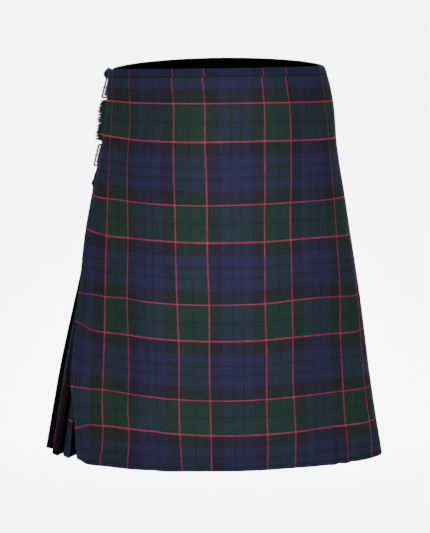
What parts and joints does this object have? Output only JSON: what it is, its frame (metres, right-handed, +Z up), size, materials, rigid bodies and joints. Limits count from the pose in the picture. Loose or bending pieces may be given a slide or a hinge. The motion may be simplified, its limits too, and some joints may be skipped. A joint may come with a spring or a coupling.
{
  "type": "kilt",
  "caption": "Worn Scottish kilt: flat fringed over apron over an under apron, knife-pleated back, narrow waistband, leather straps buckled at waist and hip.",
  "frame": {"origin": "on the kilt's upright axis, level with the middle of the waist straps, where the wearer's waist holds it", "axes": "+Z up, from hem to waist; -Y out of the front apron; +X towards the wearer's left"},
  "size_m": [0.5419, 0.3418, 0.6249],
  "materials": {
    "tartan_cloth": "worsted wool twill, blue, green and black tartan with a red line",
    "black_lining": "plain black cotton lining",
    "fringe_wool": "loose wool threads",
    "black_leather": "smooth black strap leather",
    "buckle_metal": "polished chrome"
  },
  "bodies": {
    "root": {"over_apron": "tartan_cloth", "under_apron": "tartan_cloth", "pleats_1": "tartan_cloth", "pleats_2": "tartan_cloth", "pleats_3": "tartan_cloth", "pleats_4": "tartan_cloth", "pleats_5": "tartan_cloth", "pleats_6": "tartan_cloth", "waistband_front": "tartan_cloth", "waistband_back": "tartan_cloth", "lining_back": "black_lining", "fringe": "fringe_wool", "strap_waist_right": "black_leather", "tab_waist_right": "black_leather", "buckle_waist_right": "buckle_metal", "prong_waist_right": "buckle_metal", "strap_hip_right": "black_leather", "tab_hip_right": "black_leather", "buckle_hip_right": "buckle_metal", "prong_hip_right": "buckle_metal", "strap_waist_left": "black_leather", "tab_waist_left": "black_leather", "buckle_waist_left": "buckle_metal", "prong_waist_left": "buckle_metal"}
  },
  "joints": []
}
